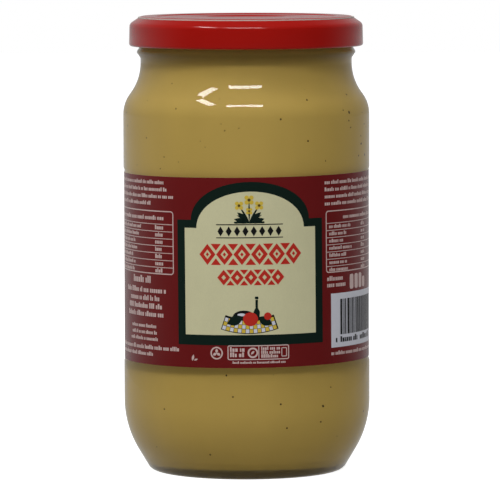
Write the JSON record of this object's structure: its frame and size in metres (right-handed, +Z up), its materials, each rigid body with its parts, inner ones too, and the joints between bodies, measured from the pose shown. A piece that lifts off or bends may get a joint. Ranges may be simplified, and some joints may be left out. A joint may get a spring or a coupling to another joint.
{
  "type": "mustard jar",
  "caption": "Full round glass jar of mustard with a twist-off metal lid and a paper label wrapped round its straight wall.",
  "frame": {"origin": "middle of the jar's standing plane, on the jar's axis", "axes": "+Z up along the jar's axis; -Y is the side that the middle of the label faces; +X is to its right"},
  "size_m": [0.0902, 0.0902, 0.1666],
  "materials": {
    "glass": "clear container glass with a faint green tint",
    "lid_lacquer": "tinplate with a glossy dark red lacquer",
    "mustard": "smooth prepared mustard, wet against the glass",
    "label_paper": "coated paper printed dark red, green and cream"
  },
  "bodies": {
    "root": {"jar_glass": "glass", "lid": "lid_lacquer", "mustard": "mustard", "label": "label_paper"}
  },
  "joints": []
}
